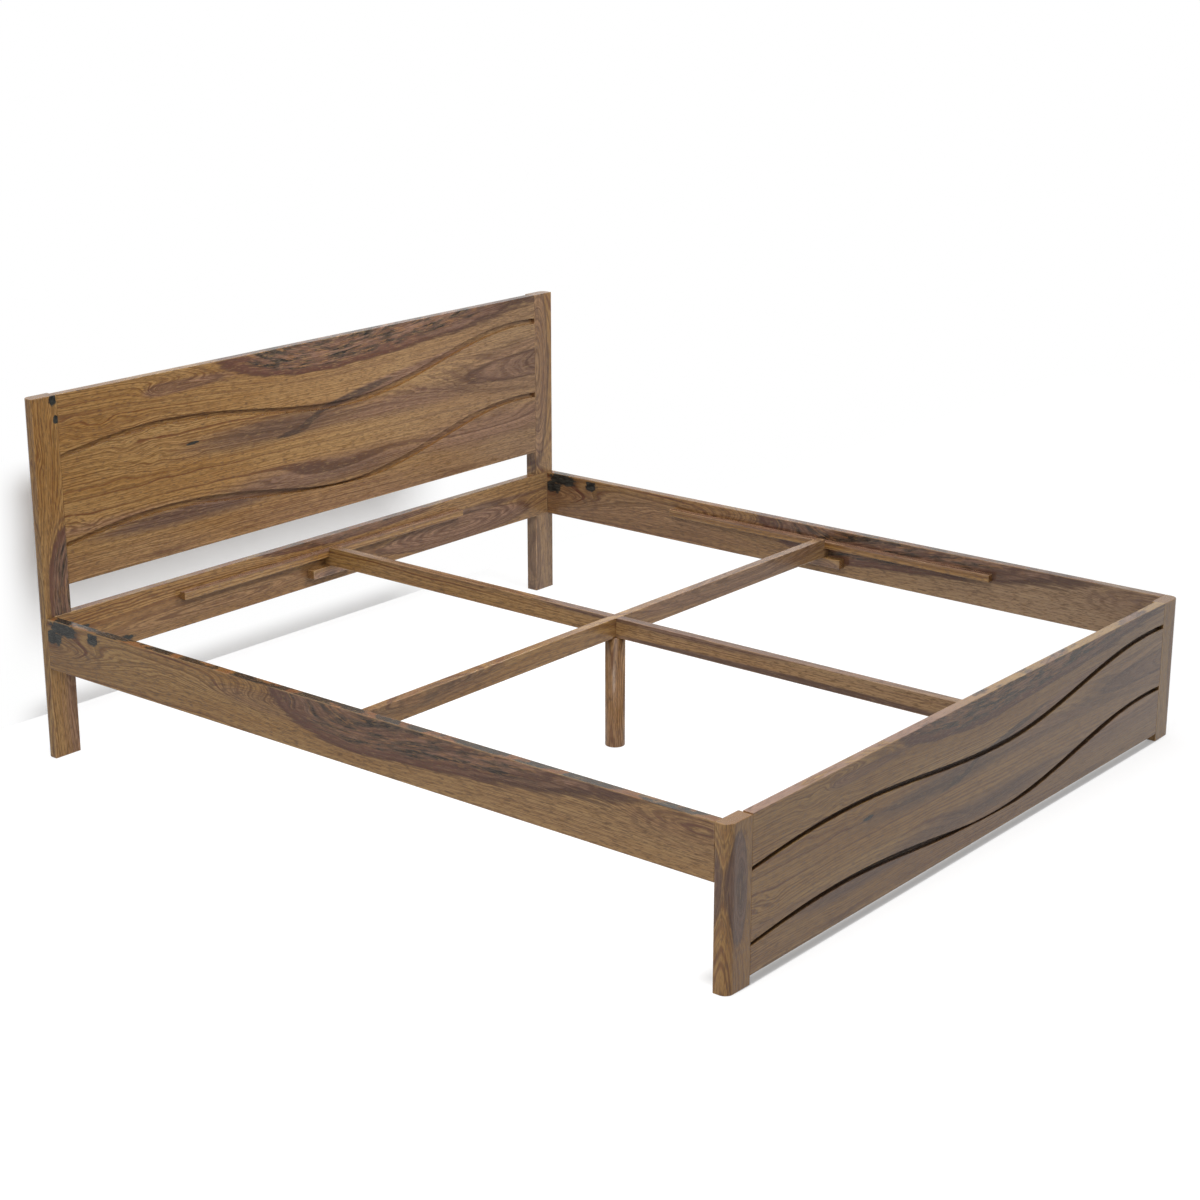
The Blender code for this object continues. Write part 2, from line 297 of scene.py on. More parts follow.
def make_post(end, side):
    piece = rounded_post(end, side)
    screws = [f"post_screw_{end}_{side}_{level}" for level in LEVELS]
    cut_nodes(piece, f"slot_plate_{end}_{side}", f"hook_plate_{end}_{side}", *screws)
    if end == "head":
        cut_nodes(piece, "head_rail")
    tongue_low, tongue_high = tongue_box(end)
    cut_box(piece, tongue_low - PLAY, tongue_high + PLAY)
    return piece


for end in ENDS:
    for side in SIDES:
        stand_for(make_post(end, side), f"{end}_post_{side}")
print("pieces so far:", len(PIECES))

# %% [markdown]
# ## Wave grooves
# The headboard and footboard panels carry two routed grooves that rise and fall like a wave. A
# router runs along a bent template, and the groove swells and thins as if drawn with a brush.
# Both the wave and the width are eased from stop to stop with a cosine, which has no kinks.
# Heights are shares of the panel's height, and places run from -1 to 1 along the panel.

# %% The wave
WAVE_TROUGH = 0.12
LEFT_CREST, LEFT_RISE = -0.64, 0.125
RIGHT_CREST, RIGHT_RISE = 0.92, 0.235
LOWER_SWELL = ((-1.05, 0.70), (-0.64, 1.0), (-0.3, 1.25), (0.03, 0.42),
               (0.32, 1.1), (0.6, 1.3), (0.85, 0.95), (1.05, 0.9))
UPPER_SWELL = ((-1.05, 0.72), (-0.7, 0.95), (-0.1, 1.0), (0.4, 1.15), (0.7, 1.2), (1.05, 0.97))
WIDEST_SWELL = 1.3


def wave(place):
    """The height of the groove above its trough."""
    left = place < WAVE_TROUGH
    crest, rise = (LEFT_CREST, LEFT_RISE) if left else (RIGHT_CREST, RIGHT_RISE)
    return rise * (1 - math.cos(math.pi * (place - WAVE_TROUGH) / (crest - WAVE_TROUGH))) / 2


def swell(place, stops):
    """The groove's width at a place as a share of its usual width."""
    for (before, first), (after, second) in zip(stops, stops[1:]):
        if place <= after:
            share = (1 - math.cos(math.pi * (place - before) / (after - before))) / 2
            return first + (second - first) * share
    return stops[-1][1]


print("height of the wave at its crests:", wave(LEFT_CREST), wave(RIGHT_CREST))

# %% [markdown]
# A curve with a bevelled profile could follow the wave, but its width would be hard to steer. The
# cutter is therefore a flat strip: it is divided along its length, its points are lifted to the
# wave, and Solidify gives it its width. A vertex group tells Solidify how wide the strip is at
# each point.

# %% Groove cutter
GROOVE_DEPTH = 0.012
GROOVE_WIDTH = 0.0335
WAVE_STEPS = 140
STRIP_OVERHANG = 1.04


def groove_cutter(low, high, level, stops):
    """A strip bent to the wave, standing out of the front face, with the groove's width."""
    length, height = high.x - low.x, high.z - low.z
    bpy.ops.object.select_all(action="DESELECT")
    bpy.ops.mesh.primitive_grid_add(x_subdivisions=WAVE_STEPS, y_subdivisions=1, size=1.0,
                                    location=((low.x + high.x) / 2, low.y, 0.0))
    strip = bpy.context.object
    strip.scale = (STRIP_OVERHANG * length, 2 * GROOVE_DEPTH, 1.0)
    bpy.ops.object.transform_apply(location=True, rotation=True, scale=True)
    widths = strip.vertex_groups.new(name="widths")
    for point in strip.data.vertices:
        place = 2 * (point.co.x - low.x) / length - 1
        point.co.z = low.z + height * (level + wave(place))
        widths.add([point.index], swell(place, stops) / WIDEST_SWELL, "REPLACE")
    width = strip.modifiers.new("width", "SOLIDIFY")
    width.thickness = height * GROOVE_WIDTH * WIDEST_SWELL
    width.offset = 0.0
    width.vertex_group = widths.name
    bpy.ops.object.modifier_apply(modifier=width.name)
    return strip


print("groove depth in mm:", GROOVE_DEPTH * 1000)

# %% [markdown]
# ## Panels
# A panel is a wide board with a tongue on each end that sits in the post. The grooves are cut
# first. A Bevel modifier then eases the outer edges and the rims of the grooves together, because
# the rims are too many to pick one by one. The tongues come last, since nobody eases them.

# %% Panels
GROOVE_LEVELS = {"head": (0.1415, 0.609), "foot": (0.128, 0.5955)}
RIM_EASE = 0.6 * EDGE_EASE
RIM_STEPS = 2
RIM_ANGLE = math.radians(50)
TONGUE_ROOT = Vector((1.5 * TONGUE_LENGTH, 0.0, 0.0))


def ease_rims(piece):
    only(piece)
    ease = piece.modifiers.new("ease", "BEVEL")
    ease.width = RIM_EASE
    ease.segments = RIM_STEPS
    ease.limit_method = "ANGLE"
    ease.angle_limit = RIM_ANGLE
    bpy.ops.object.modifier_apply(modifier=ease.name)


def make_panel(end):
    low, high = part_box(f"{end}board_panel")
    low.x, high.x = low.x + TONGUE_LENGTH - FIT, high.x - TONGUE_LENGTH + FIT
    piece = block(f"{end}board_panel_wood", low, high)
    for level, stops in zip(GROOVE_LEVELS[end], (LOWER_SWELL, UPPER_SWELL)):
        apply_boolean(piece, groove_cutter(low, high, level, stops), "DIFFERENCE")
    ease_rims(piece)
    tongue_low, tongue_high = tongue_box(end)
    left_root = Vector((tongue_low.x, tongue_high.y, tongue_high.z)) + TONGUE_ROOT
    right_root = Vector((tongue_high.x, tongue_low.y, tongue_low.z)) - TONGUE_ROOT
    apply_boolean(piece, block("tongue", tongue_low, left_root), "UNION")
    apply_boolean(piece, block("tongue", right_root, tongue_high), "UNION")
    return piece


for end in ENDS:
    panel = make_panel(end)
    stand_for(panel, f"{end}board_panel")
    print(panel.name, "faces:", len(panel.data.polygons))

# %% [markdown]
# ## Beams, cleats and blocks
# Two beams cross in the middle, each notched to half its height, and the one from side to side
# runs through on top. Each beam end steps down, passes under a cleat and lies on a small block.
# The cutters reach past the beam, because a cutter that ends in the beam's own face leaves
# slivers.

# %% Crossing of the beams
OVERCUT = 0.02

cross_low, cross_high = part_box("cross_beam")
long_low, long_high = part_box("long_beam")
beam_middle = (cross_low.z + cross_high.z) / 2
cross_beam = board("cross_beam")
long_beam = board("long_beam")
cut_box(cross_beam, (long_low.x - FIT, cross_low.y - OVERCUT, cross_low.z - OVERCUT),
        (long_high.x + FIT, cross_high.y + OVERCUT, beam_middle + FIT))
cut_box(long_beam, (long_low.x - OVERCUT, cross_low.y - FIT, beam_middle),
        (long_high.x + OVERCUT, cross_high.y + FIT, long_high.z + OVERCUT))
print("beams halved at height:", round(beam_middle, 4))

# %% Beam ends, cleats and blocks
ALONG_X, ALONG_Y = 0, 1


def step_under(beam, node, cleat, along):
    """Cuts the beam's end down where it passes under a cleat."""
    low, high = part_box(cleat)
    low, high = low - PLAY, high + PLAY
    beam_low, beam_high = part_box(node)
    across = 1 - along
    low[across], high[across] = beam_low[across] - OVERCUT, beam_high[across] + OVERCUT
    if low[along] < 0:
        low[along] -= OVERCUT
    else:
        high[along] += OVERCUT
    high.z += OVERCUT
    cut_box(beam, low, high)


for beam, node, along, cleats in ((cross_beam, "cross_beam", ALONG_X, SIDES),
                                  (long_beam, "long_beam", ALONG_Y, ENDS)):
    for name in cleats:
        step_under(beam, node, f"cleat_{name}", along)
    cut_nodes(beam, "leg_stud")
    stand_for(beam, node)
for name in SIDES + ENDS:
    for kind in ("cleat", "block"):
        stand_for(board(f"{kind}_{name}"), f"{kind}_{name}")
print("pieces so far:", len(PIECES))

# %% [markdown]
# ## The centre leg
# A turned leg carries the crossing. It starts as a cylinder, its foot edge gets a bevel so that
# it does not splinter when the bed is pushed, and a hole is bored for the stud.

# %% Centre leg
LEG_SIDES = 72
LEVEL = 0.1


def foot_edge(edge, middle, direction):
    return abs(direction.z) < LEVEL and middle.z < TOUCHING


leg_low, leg_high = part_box("centre_leg")
bpy.ops.object.select_all(action="DESELECT")
bpy.ops.mesh.primitive_cylinder_add(vertices=LEG_SIDES, radius=(leg_high.x - leg_low.x) / 2,
                                    depth=leg_high.z - leg_low.z,
                                    location=(leg_low + leg_high) / 2)
leg = bpy.context.object
leg.name = leg.data.name = "centre_leg_wood"
bpy.ops.object.transform_apply(location=True, rotation=True, scale=True)
bevel_edges(leg, foot_edge, EDGE_EASE, EASE_STEPS)
cut_nodes(leg, "leg_stud")
stand_for(leg, "centre_leg")
print("wooden pieces:", len(PIECES))

# %% [markdown]
# ## Writing finishes as sums
# A finish is a graph of nodes, and long graphs are hard to read. One small class wraps a socket,
# so that plus, minus and times on it add Math nodes. A line of Python then says what a dozen
# boxes and threads would say in the node editor.

# %% Values in a finish


class Reading:
    """A value somewhere in a finish. Operators on it add Math nodes."""

    def __init__(self, finish, socket):
        self.finish = finish
        self.socket = socket

    def maths(self, operation, *others):
        sockets = dict(enumerate((self, *others)))
        return self.finish.node("ShaderNodeMath", {"operation": operation}, sockets)

    def __add__(self, other):
        return self.maths("ADD", other)

    def __sub__(self, other):
        return self.maths("SUBTRACT", other)

    def __rsub__(self, other):
        return self.finish.node("ShaderNodeMath", {"operation": "SUBTRACT"}, {0: other, 1: self})

    def __mul__(self, other):
        return self.maths("MULTIPLY", other)

    def __neg__(self):
        return self * -1.0

    __radd__ = __add__
    __rmul__ = __mul__

    def most(self, other):
        return self.maths("MAXIMUM", other)

    def least(self, other):
        return self.maths("MINIMUM", other)

    def step(self, start, full):
        """Goes smoothly from 0 at start to 1 at full; start may be the larger one."""
        return self.finish.node("ShaderNodeMapRange", {"interpolation_type": "SMOOTHSTEP"},
                                {"Value": self, "From Min": start, "From Max": full})


print("values can be added, multiplied and compared")

# %% [markdown]
# Everything that is not a sum comes from one method, node, which takes a node's type, its
# settings and what goes into its sockets. The other methods are short names for the few nodes
# that wood needs: noise for fibres, bands and lines for growth layers, and mix for stains.

# %% Graphs
SEED_STEP = (1.0, 1.7, 0.6)
LINE_WANDER = (0.4, 1.6)
LINE_CORE = 0.3
FAINTEST_LINE = 0.2


class Finish:
    """The node graph of a material, or of the room around the bed."""

    def __init__(self, owner):
        owner.use_nodes = True
        self.owner = owner
        self.tree = owner.node_tree
        self.tree.nodes.clear()

    def node(self, kind, settings, sockets, out=0):
        made = self.tree.nodes.new(kind)
        for key, value in settings.items():
            setattr(made, key, value)
        for key, value in sockets.items():
            if isinstance(value, Reading):
                self.tree.links.new(value.socket, made.inputs[key])
            else:
                made.inputs[key].default_value = value
        return Reading(self, made.outputs[out]) if made.outputs else made

    def place(self, out):
        return self.node("ShaderNodeTexCoord", {}, {}, out)

    def part(self, vector, axis):
        return self.node("ShaderNodeSeparateXYZ", {}, {0: vector}, axis)

    def noise(self, vector, stretch, seed, detail=2.0, roughness=0.5):
        """Cloudy values about 0.5, stretched differently along each direction of the board."""
        start = [step * seed for step in SEED_STEP]
        spot = self.node("ShaderNodeVectorMath", {"operation": "MULTIPLY_ADD"},
                         {0: vector, 1: stretch, 2: start})
        return self.node("ShaderNodeTexNoise", {"noise_dimensions": "3D"},
                         {"Vector": spot, "Scale": 1.0, "Detail": detail, "Roughness": roughness})

    def bands(self, value, scale, seed, detail=2.0, roughness=0.5):
        """Uneven bands that follow one value, like the layers of a tree."""
        return self.node("ShaderNodeTexNoise", {"noise_dimensions": "1D"},
                         {"W": value * scale + seed, "Scale": 1.0, "Detail": detail,
                          "Roughness": roughness})

    def lines(self, value, count, width, seed):
        """Thin lines of even width that follow one value, some faint and some strong."""
        pace, wander = LINE_WANDER
        steps = value * count + self.bands(value, pace * count, seed) * wander
        strength = self.node("ShaderNodeTexWhiteNoise", {"noise_dimensions": "1D"},
                             {"W": steps.maths("FLOOR") + seed})
        away = (steps.maths("FRACT") - 0.5).maths("ABSOLUTE")
        line = away.step(width, LINE_CORE * width)
        return line * (strength * (1 - FAINTEST_LINE) + FAINTEST_LINE)

    def mix(self, share, under, over):
        """Lays the colour over on the colour under, by a share from 0 to 1."""
        return self.node("ShaderNodeMix", {"data_type": "RGBA", "clamp_factor": True},
                         {0: share, 6: under, 7: over}, 2)

    def rays(self, *kinds):
        """1 for rays of any of these kinds and 0 for all others."""
        first, *others = (self.node("ShaderNodeLightPath", {}, {}, f"Is {kind} Ray")
                          for kind in kinds)
        for other in others:
            first = first.most(other)
        return first

    def close(self, colour, roughness, normal, constants):
        """Ends the graph with a surface of this colour; constants go straight on its sockets."""
        shader = self.node("ShaderNodeBsdfPrincipled", {},
                           {"Base Color": colour, "Roughness": roughness, "Normal": normal,
                            **constants})
        self.node("ShaderNodeOutputMaterial", {}, {"Surface": shader})
        return self.owner


print("graphs ready")

# %% [markdown]
# ## Colours of the wood
# The bed's wood is golden brown with mauve brown heartwood, slate coloured pitch in the heart and
# dark knots. The colours are written as on a screen, where they are easy to compare with a
# picture, and turned into light, because shaders add up light.

# %% Colours


def tint(red, green, blue):
    """A colour written as on a screen, from 0 to 255, turned into light."""
    scale = [v / 255 for v in (red, green, blue)]
    light = [v / 12.92 if v <= 0.04045 else ((v + 0.055) / 1.055) ** 2.4 for v in scale]
    return (*light, 1.0)


GOLD_PALE = tint(170, 136, 88)
GOLD = tint(152, 112, 62)
GOLD_DEEP = tint(100, 68, 36)
RED_BROWN = tint(98, 56, 36)
MAUVE = tint(150, 116, 98)
MAUVE_DARK = tint(80, 54, 46)
RIM = tint(92, 58, 48)
OUTLINE = tint(58, 38, 34)
INK = tint(58, 50, 46)
SLATE = tint(52, 52, 48)
PITCH = tint(28, 29, 28)
FLECK = tint(146, 106, 72)
RUST = tint(122, 76, 42)
# painted highlight: the orange of the headboard's groove walls where light falls on them
GROOVE_HIGHLIGHT = tint(150, 102, 46)
# painted shade: the dark inside of the footboard's grooves, where little light reaches
GROOVE_SHADE = tint(52, 36, 26)
# painted haze: the pale grey that reflected light lays over the far end of some boards
PAINTED_HAZE_TONE = tint(160, 140, 122)
PORE = tint(76, 50, 30)
END_GRAIN = tint(112, 78, 52)
WORN = tint(184, 150, 110)
print("gold as light:", [round(v, 3) for v in GOLD[:3]])

# %% [markdown]
# ## A board's own directions
# The graph works in the board's own directions: p along the grain from its first end, q across
# the wide face from its lower edge, d through its thickness. A Mapping node turns the board so
# that the same recipe serves boards that lie along x, along y or stand upright. All noises are
# listed in one table, so that their scales can be compared.

# %% Directions and noises
TURNS = {"x": (0.0, 0.0, 0.0), "y": (0.0, 0.0, math.pi / 2), "z": (0.0, -math.pi / 2, 0.0)}
NOISES = {
    # steps per metre along and across the grain, seed step, detail, roughness
    "drift": (1.1, 5.0, 0, 2.0, 0.5),
    "wild": (3.0, 9.0, 2, 1.0, 0.5),
    "flame": (9.0, 30.0, 3, 1.0, 0.5),
    "curl": (20.0, 70.0, 4, 2.0, 0.5),
    "feather": (3.0, 150.0, 5, 3.0, 0.6),
    "fade": (2.4, 16.0, 7, 2.0, 0.5),
    "cloud": (1.6, 10.0, 8, 3.0, 0.5),
    "fibre": (36.0, 320.0, 9, 3.0, 0.6),
    "pores": (55.0, 560.0, 11, 1.0, 0.5),
    "patch": (12.0, 42.0, 15, 4.0, 0.65),
    "fleck": (24.0, 110.0, 17, 3.0, 0.6),
    "ragged": (55.0, 85.0, 19, 3.0, 0.5),
    "clear": (9.0, 22.0, 27, 2.0, 0.5),
    "stain": (15.0, 22.0, 27, 3.0, 0.5),
}


class Grain:
    """The finish of one board with its directions p, d and q, and the board's measures."""

    def __init__(self, node, grain, seed):
        f = self.finish = Finish(bpy.data.materials.new(f"{node}_finish"))
        self.seed = seed
        self.turn = Euler(TURNS[grain]).to_matrix()
        corners = [self.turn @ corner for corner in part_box(node)]
        start = Vector([-min(pair) for pair in zip(*corners)])
        self.length, self.thickness, self.width = (abs(a - b) for a, b in zip(*corners))
        self.spot = f.node("ShaderNodeMapping", {"vector_type": "POINT"},
                           {"Vector": f.place("Object"), "Rotation": TURNS[grain],
                            "Location": start})
        self.p, self.d, self.q = (f.part(self.spot, axis) for axis in range(3))

    def noise(self, kind, place=None):
        """A noise of the table, laid along the board or along another place."""
        along, across, step, detail, roughness = NOISES[kind]
        return self.finish.noise(place or self.spot, (along, across, across), self.seed + step,
                                 detail, roughness)


print("noises:", len(NOISES))

# %% [markdown]
# ## Growth layers
# All lines in wood follow the growth layers of the tree. A layer value rises across the board and
# wanders a little along it, and near the first end of some boards it curls into loops. A value in
# space is better than a pattern laid on each face, because it runs on round the edges as real
# layers do.

# %% Growth layers
LAYER_LEAN = 0.35
FLAT_DRIFT, LAYER_DRIFT = 0.02, 0.03
WILD_PLACES = (0.46, 0.66)
CURLY_FADE = 0.2
CALM_FLAME, WILD_FLAME = 0.005, 0.045
CALM_CURL, WILD_CURL = 0.0015, 0.004


def grow(g, curly):
    """The layer value of a board that is curly as far as this from its first end."""
    drift = g.noise("drift") - 0.5
    g.flame, g.curl, g.feather = (g.noise(kind) - 0.5 for kind in ("flame", "curl", "feather"))
    wild = 0.0
    if curly:
        near = g.p.step(curly + CURLY_FADE, curly - CURLY_FADE)
        wild = g.noise("wild").step(*WILD_PLACES) * near
    g.flat = g.q + g.d * LAYER_LEAN + drift * FLAT_DRIFT
    flames = g.flame * (wild * WILD_FLAME + CALM_FLAME)
    curls = g.curl * (wild * WILD_CURL + CALM_CURL)
    return g.flat + drift * LAYER_DRIFT + flames + curls


print("layers lean by:", LAYER_LEAN)

# %% [markdown]
# ## Lenses of heartwood
# Where the saw passed close to the heart, the layers close into long lenses. Each lens lifts the
# layer value around its middle, or winds it into a swirl, and all lines bend around it by
# themselves. A lens may be blunt or pointed at its ends, and it may lean across the board.

# %% Lenses
LENS_WOBBLE = 0.08
SWIRL_REACH = (1.3, 0.7)


class Lens:
    """A lens of heartwood: its middle, its reach along and across the board, and its darkness."""

    def __init__(self, along, up, before, after, rise, shade, soft=0.1, pitch=0.0, slope=0.0,
                 lift=2.4, ink=0.0, rings=0.0, taper="", swirl=0.0, outline=0.0):
        self.along, self.up = along, up
        self.before, self.after, self.rise = before, after, rise
        self.shade, self.soft, self.pitch = shade, soft, pitch
        self.slope, self.lift, self.ink, self.rings = slope, lift, ink, rings
        self.taper, self.swirl, self.outline = taper, swirl, outline or pitch


def bend_round(g, layer, lens, marks):
    """Bends the layers round one lens, and adds what the lens paints to the marks."""
    ahead = g.p - lens.along
    first = (-ahead).most(0.0) * (1 / lens.before)
    last = ahead.most(0.0) * (1 / lens.after)
    height = (g.flat - lens.up - ahead * lens.slope) * (1 / lens.rise)
    if lens.taper != "both":
        first = first * first
    if not lens.taper:
        last = last * last
    square = first + last + height * height
    smooth = square.maths("SQRT") + g.flame * LENS_WOBBLE + g.curl * LENS_WOBBLE
    paint_lens(g, lens, smooth, last, marks)
    if lens.swirl:
        turned = smooth * (lens.rise * lens.swirl) + lens.up
        return layer + (turned - layer) * smooth.step(*SWIRL_REACH)
    return layer + (-square).maths("EXPONENT") * (lens.lift * lens.rise)


print("swirls reach, in lens sizes:", SWIRL_REACH[0])

# %% [markdown]
# What a lens paints is gathered in six marks: the shade of its heartwood, rings around it, a dark
# border, ink stains, and for the largest hearts a core of pitch with a reddish rim. Where lenses
# overlap, the stronger mark wins, so the result does not depend on their order.

# %% Marks of a lens
MARKS = ("shade", "ring", "border", "ink", "core", "rim")
FEATHERED, FEATHERED_SOFT = 0.10, 1.8
RING_WIDTH, RING_SEED = 0.32, 60
RING_REACH = (1.4, 1.0)
RING_SHARE, RING_DEPTH = 0.45, 0.4
BORDER_OUTSIDE, BORDER_INSIDE = (1.06, 1.0), (0.9, 0.97)
CORE_REACH, RIM_REACH, RIM_END = (0.95, 0.78), (0.66, 0.9), (0.7, 0.2)


def paint_lens(g, lens, smooth, last, marks):
    """Keeps the strongest of each mark; smooth is 0 in the middle of the lens and 1 at its rim."""
    def keep(kind, value):
        marks[kind] = value.most(marks[kind])

    reach = smooth + g.feather * (FEATHERED + FEATHERED_SOFT * lens.soft)
    inside = reach.step(1.0 + lens.soft, 1.0 - lens.soft)
    keep("shade", inside * lens.shade)
    if lens.rings:
        line = g.finish.lines(smooth, lens.rings, RING_WIDTH, g.seed + RING_SEED)
        keep("ring", line * smooth.step(*RING_REACH) * (RING_SHARE + RING_DEPTH * lens.shade))
    if lens.outline:
        keep("border", reach.step(*BORDER_OUTSIDE) * reach.step(*BORDER_INSIDE) * lens.outline)
    if lens.ink:
        keep("ink", inside * lens.ink)
    if lens.pitch:
        keep("core", reach.step(*CORE_REACH) * lens.pitch)
        keep("rim", inside * reach.step(*RIM_REACH) * last.step(*RIM_END) * lens.pitch)


print("marks:", MARKS)

# %% [markdown]
# ## Gold between the hearts
# Bands of noise along the layer value give broad and fine stripes, and thin lines lie where the
# value passes a whole step. They come and go along the board, as real lines do. Fibres and pores
# are finer than the layers, so they are noise stretched along the grain.

# %% Plain wood
STRIPES = {"broad": (24.0, 0, 1.0, 0.5), "fine": (190.0, 40, 3.0, 0.6)}
LINES = {"thin": (48.0, 0.13, 20), "hair": (150.0, 0.30, 30)}
FADE_PLACES, PORE_PLACES = (0.38, 0.62), (0.56, 0.64)
CLOUD_TONES, CLOUD_SHARE, BROAD_SHARE = (0.35, 0.65), 0.6, 0.25
FINE_TONES, FINE_SHARE = (0.45, 0.66), 0.60
HAIR_FADED, HAIR_FULL = 0.45, 0.35
THIN_FADED, THIN_FULL = 0.33, 0.75
PAINTED_HAZE_START = 0.2


def read_grain(g, layer):
    """Reads the stripes, lines, fibres and pores of a board off its layers."""
    f, g.layer = g.finish, layer
    for kind, (count, step, detail, roughness) in STRIPES.items():
        setattr(g, kind, f.bands(layer, count, g.seed + step, detail, roughness))
    for kind, (count, width, step) in LINES.items():
        setattr(g, kind, f.lines(layer, count, width, g.seed + step))
    g.fade = g.noise("fade").step(*FADE_PLACES)
    g.fibre = g.noise("fibre")
    g.pores = g.noise("pores").step(*PORE_PLACES)


def plain_wood(g, painted_haze):
    """Gold with paler clouds and darker lines; the painted haze pales and greys the far end."""
    f = g.finish
    broad, cloud = g.broad.step(*CLOUD_TONES), g.noise("cloud").step(*CLOUD_TONES)
    wood = f.mix(broad * BROAD_SHARE + cloud * CLOUD_SHARE, GOLD, GOLD_PALE)
    wood = f.mix(g.fine.step(*FINE_TONES) * FINE_SHARE, wood, GOLD_DEEP)
    wood = f.mix(g.hair * (g.fade * HAIR_FULL + HAIR_FADED), wood, RED_BROWN)
    wood = f.mix(g.thin * (g.fade * THIN_FULL + THIN_FADED), wood, RED_BROWN)
    # painted haze and light: the far end is paled and greyed as if lit by reflections
    if painted_haze:
        far = g.p.step(PAINTED_HAZE_START * g.length, g.length)
        wood = f.mix(far * painted_haze, wood, PAINTED_HAZE_TONE)
    return wood


print("lines per metre:", {kind: count for kind, (count, *rest) in LINES.items()})

# %% [markdown]
# ## Hearts
# Heartwood is mauve with the same stripes as the gold around it. Rings and a dark border draw its
# outline. The pitch in a core lies in flakes along the layers, so its noise is laid along the
# layer value instead of the board, and golden flecks shine through between the flakes.

# %% Heartwood
HEART_BROAD, HEART_BROAD_SHARE = (0.40, 0.60), 0.40
HEART_FINE, HEART_FINE_SHARE = (0.40, 0.66), 0.55
HEART_LINES, HEART_HAIR = 0.8, 0.6
RING_FADED, RING_FULL = 0.6, 0.4
BORDER_SHARE, RIM_SHARE = 0.7, 0.8
SLATE_FLAKES, SLATE_SHARE = (0.44, 0.56), 0.85
PITCH_FLAKES = (0.57, 0.61)
GOLD_FLECKS, FLECK_SHARE = (0.57, 0.62), 0.85


def heartwood(g, wood, marks):
    """Lays the marks of all lenses over the plain wood."""
    f = g.finish
    stripes = (g.broad.step(*HEART_BROAD) * HEART_BROAD_SHARE
               + g.fine.step(*HEART_FINE) * HEART_FINE_SHARE)
    heart = f.mix(stripes, MAUVE, MAUVE_DARK)
    heart = f.mix(g.thin.most(g.hair * HEART_HAIR) * HEART_LINES, heart, MAUVE_DARK)
    wood = f.mix(marks["shade"], wood, heart)
    if marks["ring"]:
        wood = f.mix(marks["ring"] * (g.fade * RING_FULL + RING_FADED), wood, MAUVE_DARK)
    if marks["border"]:
        wood = f.mix(marks["border"] * BORDER_SHARE, wood, OUTLINE)
    if marks["core"]:
        wood = f.mix(marks["rim"] * RIM_SHARE, wood, RIM)
        along_layer = f.node("ShaderNodeCombineXYZ", {}, {0: g.p, 1: g.d, 2: g.layer})
        patch, fleck = g.noise("patch", along_layer), g.noise("fleck", along_layer)
        wood = f.mix(marks["core"] * patch.step(*SLATE_FLAKES) * SLATE_SHARE, wood, SLATE)
        wood = f.mix(marks["core"] * patch.step(*PITCH_FLAKES), wood, PITCH)
        wood = f.mix(marks["core"] * fleck.step(*GOLD_FLECKS) * FLECK_SHARE, wood, FLECK)
    if marks["ink"]:
        wood = f.mix(marks["ink"], wood, INK)
    return wood


print("heart colours:", [round(v, 3) for v in MAUVE[:3]], [round(v, 3) for v in MAUVE_DARK[:3]])

# %% [markdown]
# ## Grooves and upper edges
# The walls and the floor of a groove get painted light and shade in place of the face's colour:
# the headboard's groove walls a painted orange highlight, as if lit, and the footboard's grooves a
# painted dark shade. They are found by their depth below the face. The upper edges of the boards
# show other layers: some are mottled with rust and pitch, and the footboard's is pale.

# %% Grooves and upper edges
GROOVE_RIM = (0.01, 0.02)
GROOVE_START = (0.002, 0.004)
GROOVE_END = (GROOVE_DEPTH + 0.0016, GROOVE_DEPTH + 0.0006)
GROOVE_FLOOR = (GROOVE_DEPTH - 0.0006, GROOVE_DEPTH - 0.0003)
TOP_START, TOP_FULL = 0.0014, 0.0004
CLEAR_PLACES, CROWN_TURN = (0.36, 0.46), (0.35, 0.6)
RUST_PLACES, RUST_SHARE = (0.52, 0.40), 0.85
DARK_PLACES, DARK_END = (0.43, 0.51), 0.4


def paint_groove_light(g, wood, colour, wall, bottom):
    """Paints light or shade on the groove walls and floors, as strongly as said."""
    below = g.d.step(*GROOVE_START) * g.d.step(*GROOVE_END)
    within = g.q.least(g.width - g.q).step(*GROOVE_RIM) * below
    strength = g.d.step(*GROOVE_FLOOR) * (bottom - wall) + wall
    return g.finish.mix(within * strength, wood, colour)


def upper_edge(g, wood, crown, blotch):
    """Pales the upper edge by crown, and mottles it by blotch."""
    f, length = g.finish, g.length
    top = g.q.step(g.width - TOP_START, g.width - TOP_FULL)
    if crown:
        clear = g.noise("clear").step(*CLEAR_PLACES)
        turn, full = CROWN_TURN
        pale = f.mix(g.p.step(turn * length, full * length), MAUVE, GOLD_PALE)
        wood = f.mix(top * clear * crown, wood, pale)
    if blotch:
        stain = g.noise("stain")
        wood = f.mix(top * stain.step(*RUST_PLACES) * RUST_SHARE, wood, RUST)
        dark = f.mix(g.p.step(length, DARK_END * length) * blotch, SLATE, PITCH)
        wood = f.mix(top * stain.step(*DARK_PLACES) * blotch, wood, dark)
    return wood


print("groove floor found at mm:", [round(1000 * v, 2) for v in GROOVE_FLOOR])

# %% [markdown]
# ## Fibres, knots, ends and wear
# Fibres and pores lie over all colours, because every kind of this wood has them. Knots are dark
# spots with ragged rims. End grain shows rings instead of lines, and it is found by the direction
# of the face. Edges wear pale with use: close to an edge, two of the three distances to the faces
# are small.

